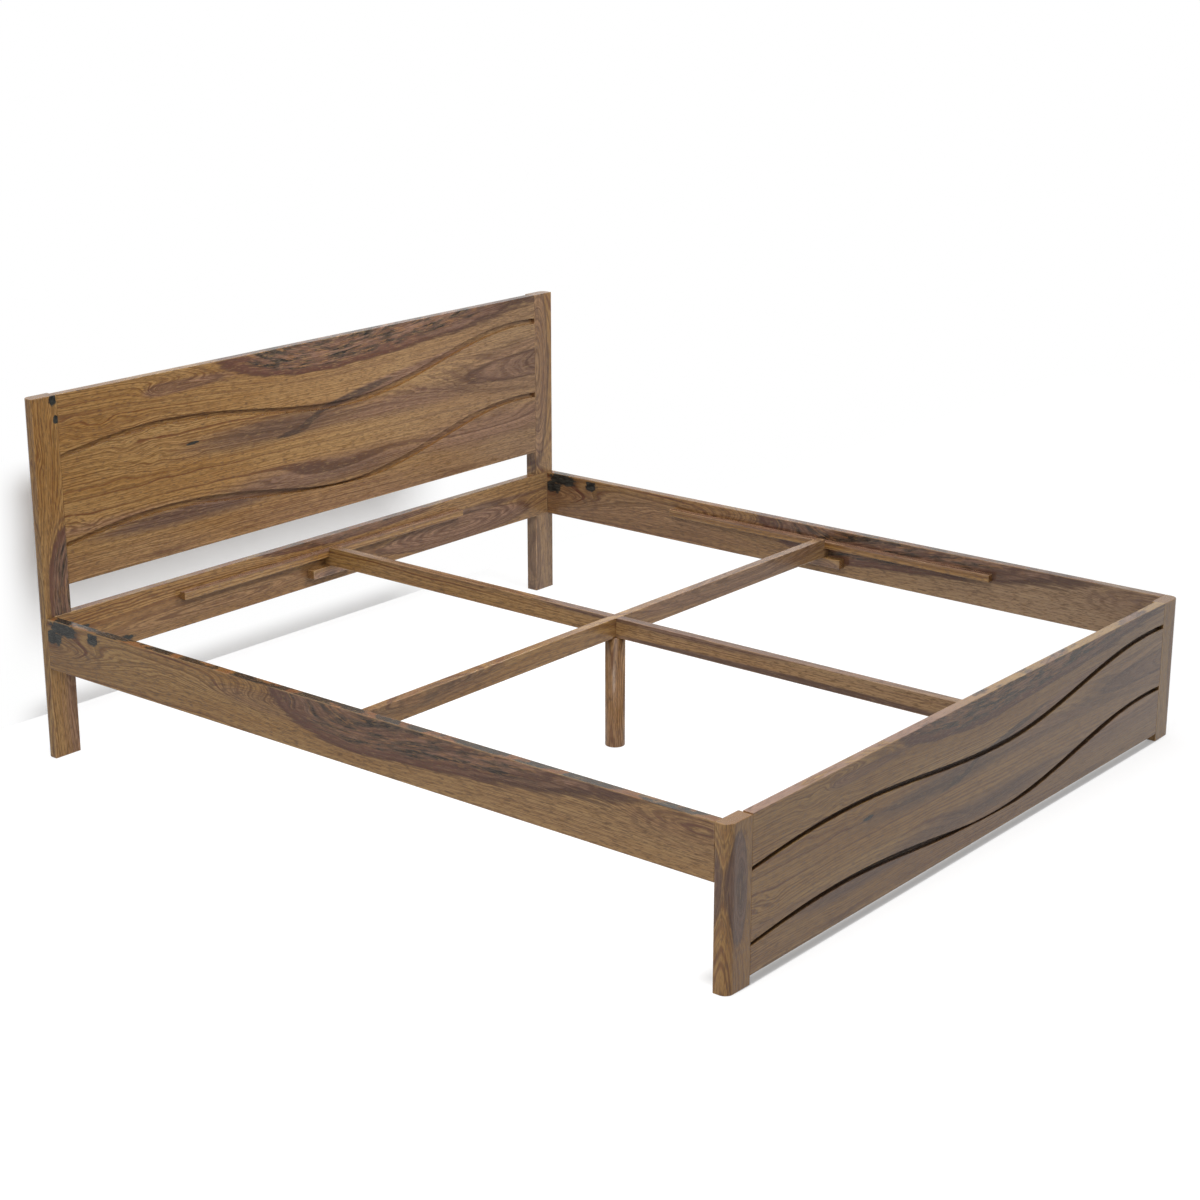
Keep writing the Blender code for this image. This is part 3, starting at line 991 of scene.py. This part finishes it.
# %% Fibres, knots, ends and wear
DEEP_FIBRES, DEEP_SHARE = (0.5, 0.72), 0.70
PALE_FIBRES, PALE_SHARE = (0.48, 0.25), 0.45
PORE_SHARE = 0.65
KNOT_RIM, KNOT_RAGGED, KNOT_TONES = (1.1, 0.8), 1.4, (-0.1, 0.12)
END_FACING, END_SHARE = (0.7, 0.9), 0.75
END_RINGS, END_SEED, END_LEAN, END_WOBBLE = 420.0, 23, 0.8, 0.01
END_TONES, END_DETAIL = (0.4, 0.65), 2.0
WORN_REACH, WORN_PLACES, WORN_SHARE = (0.003, 0.0012), (0.3, 0.6), 0.3


def fibres(g, wood):
    f = g.finish
    wood = f.mix(g.fibre.step(*DEEP_FIBRES) * DEEP_SHARE, wood, GOLD_DEEP)
    wood = f.mix(g.fibre.step(*PALE_FIBRES) * PALE_SHARE, wood, GOLD_PALE)
    return f.mix(g.pores * PORE_SHARE, wood, PORE)


def dark_knots(g, wood, knots):
    """Knots, each given by its place and its reach along and across the board."""
    f, ragged, knot = g.finish, g.noise("ragged") - 0.5, 0.0
    for along, up, reach, rise in knots:
        x, y = (g.p - along) * (1 / reach), (g.q - up) * (1 / rise)
        away = (x * x + y * y).maths("SQRT") + ragged * KNOT_RAGGED
        knot = away.step(*KNOT_RIM).most(knot)
    return f.mix(knot, wood, f.mix(ragged.step(*KNOT_TONES), SLATE, PITCH))


def end_grain(g, wood):
    f = g.finish
    grain_way = g.turn.transposed() @ Vector((1.0, 0.0, 0.0))
    facing = f.node("ShaderNodeVectorMath", {"operation": "DOT_PRODUCT"},
                    {0: f.place("Normal"), 1: grain_way}, "Value")
    end = facing.maths("ABSOLUTE").step(*END_FACING)
    across = g.q + g.d * END_LEAN + g.flame * END_WOBBLE
    rings = f.bands(across, END_RINGS, g.seed + END_SEED, END_DETAIL)
    return f.mix(end * END_SHARE, wood, f.mix(rings.step(*END_TONES), END_GRAIN, GOLD))


def worn_edges(g, wood):
    sizes = ((g.p, g.length), (g.d, g.thickness), (g.q, g.width))
    x, y, z = (value.least(size - value) for value, size in sizes)
    edge = x + y + z - x.most(y).most(z)
    worn = edge.step(*WORN_REACH) * g.fade.step(*WORN_PLACES)
    return g.finish.mix(worn * WORN_SHARE, wood, WORN)


print("worn edges reach in by mm:", WORN_REACH[0] * 1000)

# %% [markdown]
# ## The whole recipe
# The layers come first and the stains follow from the inside of the tree to the surface of the
# board. The finish is a satin oil: a little rougher on fibres and in pores, with pores sunk into
# it. Gloss is one number for the whole board, so it is set on the shader itself.

# %% The wood recipe
BASE_ROUGH, FIBRE_ROUGH, PORE_ROUGH = 0.15, 0.12, 0.15
FIBRE_RELIEF, PORE_RELIEF, FINE_RELIEF = 0.4, 0.8, 0.25
RELIEF_STRENGTH, RELIEF_HEIGHT = 0.25, 0.0004


def hardwood(node, grain, seed, lenses, knots=(), gloss=0.5, blotch=0.0, painted_haze=0.0, curly=0.0,
             groove=None, crown=0.0):
    """The wood of one board, with its grain along x, y or z."""
    g = Grain(node, grain, seed)
    layer, marks = grow(g, curly), dict.fromkeys(MARKS, 0.0)
    for lens in lenses:
        layer = bend_round(g, layer, lens, marks)
    read_grain(g, layer)
    wood = heartwood(g, plain_wood(g, painted_haze), marks)
    if groove:
        wood = paint_groove_light(g, wood, *groove)
    wood = fibres(g, upper_edge(g, wood, crown, blotch))
    if knots:
        wood = dark_knots(g, wood, knots)
    wood = worn_edges(g, end_grain(g, wood))
    rough = BASE_ROUGH + g.fibre * FIBRE_ROUGH + g.pores * PORE_ROUGH
    relief = g.fibre * FIBRE_RELIEF - g.pores * PORE_RELIEF - g.fine * FINE_RELIEF
    bump = g.finish.node("ShaderNodeBump", {}, {"Strength": RELIEF_STRENGTH,
                                                "Distance": RELIEF_HEIGHT, "Height": relief})
    return g.finish.close(wood, rough, bump, {"Specular IOR Level": gloss})


print("wood recipe ready")

# %% [markdown]
# ## Figure of the panels
# No two boards are alike, so each gets its own lenses and knots, placed in metres from its first
# end and its lower edge. The headboard and footboard were cut from neighbouring planks and share
# their figure, so it is written once, with heights as shares of the panel's height.

# %% Figure of the panels
PANEL_FIGURE = (
    # along, up, before, after, rise, shade, and what else the lens has
    (0.94, 1.00, 0.40, 0.80, 0.185, 0.95,
     dict(soft=0.05, pitch=1.0, lift=2.6, rings=8.0, taper="last")),
    (0.336, 0.905, 0.06, 0.24, 0.035, 0.70, dict(soft=0.3, lift=3.0, rings=3.5)),
    (0.72, 0.55, 0.26, 0.30, 0.060, 0.85, dict(soft=0.7, lift=0.8, ink=0.55)),
    (0.79, 0.515, 0.08, 0.05, 0.020, 0.95, dict(soft=0.3, slope=0.12, lift=0.5, ink=0.85)),
    (0.835, 0.555, 0.06, 0.06, 0.022, 0.95, dict(soft=0.3, slope=0.40, lift=0.5, ink=0.85)),
    (0.97, 0.630, 0.11, 0.20, 0.020, 0.90, dict(soft=0.3, slope=0.16, lift=0.5, ink=0.75)),
    (1.14, 0.680, 0.24, 0.34, 0.030, 0.85, dict(soft=0.3, slope=0.14, lift=0.5)),
    (1.18, 0.535, 0.30, 0.34, 0.055, 0.75, dict(soft=0.6, lift=0.6, ink=0.15)),
    (1.85, 0.588, 0.48, 0.50, 0.190, 0.42,
     dict(soft=0.2, lift=0.0, taper="both", swirl=1.0, outline=0.5)),
    (1.80, 0.585, 0.36, 0.40, 0.080, 0.80,
     dict(soft=0.12, lift=0.0, ink=0.12, rings=3.0, outline=0.7)),
    (0.87, 0.245, 0.32, 0.36, 0.075, 0.85, dict(soft=0.6, lift=1.0, ink=0.35)),
    (0.95, 0.235, 0.16, 0.20, 0.025, 0.90, dict(soft=0.5, lift=0.5, ink=0.5)),
    (1.57, 0.245, 0.34, 0.36, 0.090, 0.70, dict(soft=0.5, lift=1.0)),
    (0.42, 0.205, 0.28, 0.30, 0.046, 0.95, dict(soft=0.5, lift=1.0, ink=0.40)),
    (0.87, 0.030, 1.40, 1.40, 0.110, 0.25, dict(soft=0.9, lift=0.0, rings=7.0)),
    (0.10, 0.275, 0.20, 0.24, 0.026, 0.50, dict(soft=0.8, lift=0.4)),
)
PANEL_KNOT = (0.424, 0.585, 0.020, 0.004)


def panel_figure(node, depth):
    """The lenses and the knot of a panel; depth says how dark its hearts are."""
    low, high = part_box(node)
    height = high.z - low.z
    lenses = [Lens(along, up * height, before, after, rise * height, shade * depth, **rest)
              for along, up, before, after, rise, shade, rest in PANEL_FIGURE]
    along, up, reach, rise = PANEL_KNOT
    print(node, "height:", round(height, 3), "lenses:", len(lenses))
    return dict(lenses=lenses, knots=[(along, up * height, reach, rise)])


# The headboard's grooves get a painted orange highlight and the footboard's a painted dark shade.
# The footboard's hearts are kept paler (0.85) as painted haze of reflected light.
WOODS = {
    "headboard_panel": dict(grain="x", seed=2.0, **panel_figure("headboard_panel", 1.0),
                            gloss=0.2, painted_haze=0.3, curly=0.62, groove=(GROOVE_HIGHLIGHT, 0.6, 0.1)),
    "footboard_panel": dict(grain="x", seed=2.0, **panel_figure("footboard_panel", 0.85),
                            gloss=0.32, painted_haze=0.3, curly=0.62, groove=(GROOVE_SHADE, 0.8, 0.95),
                            crown=0.95),
}

# %% [markdown]
# ## Figure of the rails
# Both side rails carry the same long heart along their upper edge and a group of knots at the
# head end, as if they had been sawn from one plank. The right one is darker at its head end, a
# painted shade next to the headboard, and paler at its foot end, a painted haze. The head rail has
# two hearts of its own and knots on its left, and its lower left is darkened by painted shade.

# %% Figure of the rails
RAIL_LENSES = [
    Lens(1.08, 0.127, 0.30, 0.70, 0.094, 0.88, soft=0.06, pitch=0.85, rings=7.0, taper="last"),
    Lens(0.0, 0.055, 0.3, 0.20, 0.042, 0.10, soft=0.3, rings=3.5),
    Lens(0.78, 0.085, 0.18, 0.3, 0.022, 0.30, soft=0.3, rings=3.0),
    Lens(2.0, 0.085, 0.24, 0.2, 0.045, 0.15, soft=0.4, rings=4.0)]
# painted shade: the right rail's head end darkened where the headboard shades it
RIGHT_RAIL_PAINTED_SHADE = Lens(0.20, 0.045, 0.40, 0.60, 0.075, 0.45, soft=0.5, lift=0.0)
RAIL_KNOTS = [(0.060, 0.112, 0.052, 0.020), (0.022, 0.085, 0.032, 0.020),
              (0.170, 0.108, 0.023, 0.015)]
HEAD_RAIL_LENSES = [
    Lens(0.98, 0.127, 0.30, 0.36, 0.022, 0.9, pitch=0.5),
    Lens(1.46, 0.037, 0.34, 0.30, 0.036, 0.75, soft=0.15, rings=5.0, outline=0.6),
    Lens(1.50, 0.078, 0.45, 0.32, 0.008, 0.8, soft=0.3, lift=0.5, ink=0.4),
    # painted shade: a broad darker patch on the lower left
    Lens(0.55, 0.030, 0.60, 0.50, 0.030, 0.35, soft=0.8, ink=0.1)]
HEAD_RAIL_KNOTS = [(0.025, 0.079, 0.030, 0.018), (0.083, 0.079, 0.020, 0.006),
                   (0.108, 0.041, 0.016, 0.014), (0.206, 0.017, 0.032, 0.008)]

WOODS["head_rail"] = dict(grain="x", seed=31.0, lenses=HEAD_RAIL_LENSES, knots=HEAD_RAIL_KNOTS,
                          gloss=0.25, blotch=0.2, painted_haze=0.2, curly=0.3)
WOODS["side_rail_left"] = dict(grain="y", seed=11.0, lenses=RAIL_LENSES, knots=RAIL_KNOTS,
                               gloss=0.25, blotch=1.0, painted_haze=0.15, curly=0.5)
WOODS["side_rail_right"] = dict(grain="y", seed=11.0, lenses=RAIL_LENSES + [RIGHT_RAIL_PAINTED_SHADE],
                                knots=RAIL_KNOTS, gloss=0.32, blotch=0.15, painted_haze=0.5, curly=0.5)
print("woods so far:", list(WOODS))

# %% [markdown]
# ## Figure of the posts and the leg
# Posts are narrow, so each shows no more than one or two hearts. The grain stands upright, and
# places are counted from the top. Ringed lenses suit the outer corners, where the saw cut
# slantwise through the layers.

# %% Figure of the posts and the leg
WOODS["head_post_left"] = dict(
    grain="z", seed=47.0, gloss=0.2, curly=0.3,
    lenses=[Lens(0.49, 0.080, 0.165, 0.22, 0.066, 0.95, soft=0.05, pitch=0.8, rings=5.0),
            Lens(0.80, 0.080, 0.15, 0.18, 0.040, 0.75, soft=0.5)],
    knots=[(0.010, 0.062, 0.014, 0.014), (0.058, 0.070, 0.012, 0.008)])
WOODS["head_post_right"] = dict(
    grain="z", seed=53.0, gloss=0.35, painted_haze=0.45,
    lenses=[Lens(0.21, 0.0, 0.26, 0.30, 0.060, 0.45, lift=3.0, rings=4.0, outline=0.8),
            Lens(0.80, 0.0, 0.15, 0.12, 0.024, 0.30, soft=0.08, lift=2.0, ink=0.15, rings=3.0)])
WOODS["foot_post_left"] = dict(
    grain="z", seed=59.0, gloss=0.35,
    lenses=[Lens(0.14, 0.032, 0.12, 0.12, 0.027, 0.95, soft=0.08, ink=0.35, rings=3.0,
                 outline=0.6)])
WOODS["foot_post_right"] = dict(
    grain="z", seed=61.0, gloss=0.35,
    lenses=[Lens(0.14, 0.06, 0.11, 0.16, 0.022, 0.6, soft=0.2, rings=3.0)])
WOODS["centre_leg"] = dict(
    grain="z", seed=73.0, gloss=0.3,
    lenses=[Lens(0.10, 0.05, 0.16, 0.30, 0.012, 0.8, soft=0.2),
            Lens(0.15, 0.02, 0.40, 0.40, 0.030, 0.4, soft=0.6)])
print("woods so far:", len(WOODS))

# %% [markdown]
# ## Figure of the beams and small pieces
# The beams show long dark streaks, which are flat lenses with some ink. Cleats and blocks are
# offcuts: they share one lens, and only their seed makes them differ.

# %% Figure of the beams and small pieces
WOODS["cross_beam"] = dict(
    grain="x", seed=67.0, gloss=0.35, painted_haze=0.25,
    lenses=[Lens(0.22, 0.035, 0.20, 0.25, 0.022, 0.3, soft=0.4, pitch=0.3),
            Lens(1.50, 0.036, 0.50, 0.32, 0.032, 0.55, soft=0.2, rings=5.0)])
WOODS["long_beam"] = dict(
    grain="y", seed=71.0, gloss=0.2, painted_haze=0.3,
    lenses=[Lens(0.93, 0.055, 0.20, 0.25, 0.014, 0.9, soft=0.2, ink=0.4),
            Lens(1.25, 0.060, 0.30, 0.40, 0.020, 0.9, soft=0.2, ink=0.3),
            Lens(1.65, 0.066, 0.40, 0.40, 0.018, 0.8, soft=0.3),
            Lens(1.45, 0.006, 0.40, 0.55, 0.008, 0.9, soft=0.2, lift=1.0, ink=0.6),
            Lens(0.42, 0.056, 0.36, 0.34, 0.012, 0.5, soft=0.5, ink=0.15)])
CLEAT_LENSES = [Lens(0.5, 0.024, 0.6, 0.7, 0.010, 0.9, soft=0.3)]
BLOCK_LENSES = [Lens(0.06, 0.0, 0.1, 0.1, 0.016, 0.7, soft=0.4)]
CLEAT_SEED, BLOCK_SEED = 80.0, 90.0

for index, name in enumerate(SIDES + ENDS):
    grain = "y" if name in SIDES else "x"
    WOODS[f"cleat_{name}"] = dict(grain=grain, seed=CLEAT_SEED + index, lenses=CLEAT_LENSES,
                                  gloss=0.4)
    WOODS[f"block_{name}"] = dict(grain=grain, seed=BLOCK_SEED + index, lenses=BLOCK_LENSES,
                                  gloss=0.5)

for node, wood in WOODS.items():
    piece = PIECES[node]
    piece.data.materials.clear()
    piece.data.materials.append(hardwood(node, **wood))
print("woods:", len(WOODS))

# %% [markdown]
# ## Zinc plated steel
# The hook plates, slot plates, screws and the leg's stud are hidden in the joints. They keep
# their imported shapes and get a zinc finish: bluish grey metal with the patchy bloom of plating.

# %% Zinc
ZINC = tint(196, 198, 200)
ZINC_BLOOM = tint(168, 172, 178)
BLOOM_SCALE, BLOOM_TONES = (160.0, 160.0, 160.0), (0.4, 0.65)
SCRATCH_SCALE = (900.0, 900.0, 60.0)
ZINC_ROUGH, BLOOM_ROUGH = 0.28, 0.2


def zinc():
    f = Finish(bpy.data.materials.new("zinc_finish"))
    spot = f.place("Object")
    bloom = f.noise(spot, BLOOM_SCALE, 3.0, 3.0)
    scratch = f.noise(spot, SCRATCH_SCALE, 5.0, 1.0)
    colour = f.mix(bloom.step(*BLOOM_TONES), ZINC, ZINC_BLOOM)
    rough = ZINC_ROUGH + bloom * BLOOM_ROUGH
    bump = f.node("ShaderNodeBump", {}, {"Strength": 0.15, "Distance": 0.0001, "Height": scratch})
    return f.close(colour, rough, bump, {"Metallic": 1.0})


zinc_finish = zinc()
kept = [node for name, node in frame["nodes"].items() if name not in PIECES]
for node in kept:
    node.data.materials.clear()
    node.data.materials.append(zinc_finish)
print("steel nodes:", len(kept))

# %% [markdown]
# ## Floor
# The bed stands on a plain pale floor. To the camera and to reflections the floor is partly a
# white glow and partly a matt grey that takes the bed's shadow. Under the footboard, which nearly
# touches the floor, a mask gives the grey a larger share in a narrow strip, a painted deepening of
# the shadow that shows as a grey strip. Further away the floor fades into white.

# %% Floor
WHITE = (1.0, 1.0, 1.0, 1.0)
FLOOR_SIDE, FLOOR_DROP = 200.0, 0.0005
FLOOR_GREY, FLOOR_GLOW = 0.55, 1.90
SHADOW_SHARE, DEEP_SHADOW = 0.60, 0.27
SHADOW_NEAR, SHADOW_FAR = 1.8, 5.0
foot_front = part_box("footboard_panel")[0].y
UNDER_FOOTBOARD = (foot_front - 0.004, foot_front + 0.002)
BEHIND_FOOTBOARD = (foot_front + 0.13, foot_front + 0.06)
UNDER_ENDS = (0.94, 0.88)

bpy.ops.object.select_all(action="DESELECT")
bpy.ops.mesh.primitive_plane_add(size=FLOOR_SIDE, location=(0.0, 0.0, -FLOOR_DROP))
floor = bpy.context.object
floor.name = "floor"
bpy.ops.object.transform_apply(location=True, rotation=True, scale=True)


def floor_finish():
    f = Finish(bpy.data.materials.new("floor_finish"))
    spot = f.place("Object")
    aside, ahead = f.part(spot, 0), f.part(spot, 1)
    away = f.node("ShaderNodeVectorMath", {"operation": "LENGTH"}, {0: spot}, "Value")
    near = away.step(SHADOW_FAR, SHADOW_NEAR)
    # painted shadow: this mask, not the light, sets the strip where the floor's shadow deepens
    deep = ahead.step(*UNDER_FOOTBOARD) * ahead.step(*BEHIND_FOOTBOARD)
    deep = deep * aside.maths("ABSOLUTE").step(*UNDER_ENDS) * DEEP_SHADOW
    matt = f.node("ShaderNodeBsdfDiffuse", {}, {"Color": (FLOOR_GREY, FLOOR_GREY, FLOOR_GREY, 1.0)})
    white = f.node("ShaderNodeEmission", {},
                   {"Color": WHITE, "Strength": near * (FLOOR_GLOW - 1) + 1})
    seen = f.rays("Camera", "Glossy", "Transmission")
    share = seen * (1 - near * (deep + SHADOW_SHARE))
    both = f.node("ShaderNodeMixShader", {}, {0: share, 1: matt, 2: white})
    f.node("ShaderNodeOutputMaterial", {}, {"Surface": both})
    return f.owner


floor.data.materials.append(floor_finish())
print("grey strip behind the footboard's face, in m:", round(BEHIND_FOOTBOARD[0] - foot_front, 3))

# %% [markdown]
# ## Wall
# A white wall a quarter of a metre behind the bed shows the soft shadow of the headboard. Its
# matt grey takes the real shadow, but a painted band decides where the grey shows, behind the
# headboard and in a strip along the wall's foot, so the shadow's outline is painted shade. Away
# from that band the wall is plain white. Only the camera sees it, and only from its front, so it
# changes no light on the bed and does not hide the bed from behind.

# %% Wall
WALL_GAP = 0.24
WALL_SIDE = 40.0
WALL_GREY = 0.95
WALL_LEFT, WALL_RIGHT = (-0.88, -0.73), (0.80, 0.45)
WALL_FOOT, WALL_TOP = (0.08, 0.46), (0.69, 0.58)
WALL_FOOT_SHADE, FOOT_SHADE_SHARE = (0.07, 0.0), 0.6

bpy.ops.object.select_all(action="DESELECT")
bpy.ops.mesh.primitive_plane_add(size=WALL_SIDE, rotation=(math.pi / 2, 0.0, 0.0),
                                 location=(0.0, cad_high.y + WALL_GAP, WALL_SIDE / 2))
wall = bpy.context.object
wall.name = "wall"
bpy.ops.object.transform_apply(location=True, rotation=True, scale=True)


def wall_finish():
    f = Finish(bpy.data.materials.new("wall_finish"))
    spot = f.place("Object")
    aside, above = f.part(spot, 0), f.part(spot, 2)
    # painted shadow: this band, not the lamps, sets where the wall's grey shade shows
    painted_shadow_band = above.step(*WALL_FOOT) * above.step(*WALL_TOP)
    painted_shadow_band = painted_shadow_band.most(above.step(*WALL_FOOT_SHADE) * FOOT_SHADE_SHARE)
    near = aside.step(*WALL_LEFT) * aside.step(*WALL_RIGHT) * painted_shadow_band
    matt = f.node("ShaderNodeBsdfDiffuse", {}, {"Color": (WALL_GREY, WALL_GREY, WALL_GREY, 1.0)})
    white = f.node("ShaderNodeEmission", {}, {"Color": WHITE, "Strength": 1.0})
    front = f.node("ShaderNodeMixShader", {}, {0: near, 1: white, 2: matt})
    clear = f.node("ShaderNodeBsdfTransparent", {}, {"Color": WHITE})
    behind = f.node("ShaderNodeNewGeometry", {}, {}, "Backfacing")
    shown = f.rays("Camera") * (1 - behind)
    both = f.node("ShaderNodeMixShader", {}, {0: shown, 1: clear, 2: front})
    f.node("ShaderNodeOutputMaterial", {}, {"Surface": both})
    return f.owner


wall.data.materials.append(wall_finish())
print("wall at:", round(cad_high.y + WALL_GAP, 3))

# %% [markdown]
# ## Room light
# The room is plain white for the eye and for reflections. For shading it is brightest overhead
# and dim at the sides, so tops are light and outer faces fall into soft shade. A picture of a
# room could light the bed too, but a rise with height is enough for a studio.

# %% Room light
ROOM_OVERHEAD = 0.50
ROOM_LEVEL = 0.20


def room_light():
    """White for the eye and for reflections; for shading, bright overhead and dim at the sides."""
    world = bpy.data.worlds.new("room")
    f = Finish(world)
    height = f.part(f.place("Generated"), 2)
    soft = height.most(0.0) * ROOM_OVERHEAD + ROOM_LEVEL
    seen = f.rays("Camera", "Glossy", "Transmission")
    strength = soft + seen * (1.0 - soft)
    light = f.node("ShaderNodeBackground", {}, {"Color": WHITE, "Strength": strength})
    f.node("ShaderNodeOutputWorld", {}, {"Surface": light})
    return world


bpy.context.scene.world = room_light()
print("room light overhead and level:", ROOM_OVERHEAD + ROOM_LEVEL, ROOM_LEVEL)

# %% [markdown]
# ## Lamps
# Three soft boxes shape the light. The largest power comes from the left, high over the foot end,
# and throws the headboard's shadow on the wall. A small one over the bed brightens the headboard,
# and a wide weak one under the ceiling lifts the upper edges. The camera sees none of them.

# %% Lamps


def lamp(name, place, aim, side, power, spread):
    """A square soft box at a place, turned to a point, unseen by the camera."""
    data = bpy.data.lights.new(name, "AREA")
    data.energy, data.size, data.spread = power, side, math.radians(spread)
    box = bpy.data.objects.new(name, data)
    bpy.context.scene.collection.objects.link(box)
    box.location = place
    box.rotation_euler = (Vector(aim) - Vector(place)).to_track_quat("-Z", "Y").to_euler()
    box.visible_camera = False
    print(name, "watts:", power)


lamp("key_lamp", place=(-2.4, -1.05, 2.6), aim=(0.0, 0.0, 0.3), side=1.6, power=42.0, spread=170)
lamp("headboard_lamp", place=(0.75, -0.75, 2.15), aim=(0.0, 1.0, 0.6), side=0.5, power=8.2,
     spread=90)
lamp("ceiling_lamp", place=(0.0, 0.0, 3.2), aim=(0.0, 0.0, 0.0), side=3.0, power=14.0, spread=70)

# %% [markdown]
# ## The view
# The scene is shown through the Standard view transform.

# %% Finish
bpy.context.scene.view_settings.view_transform = "Standard"
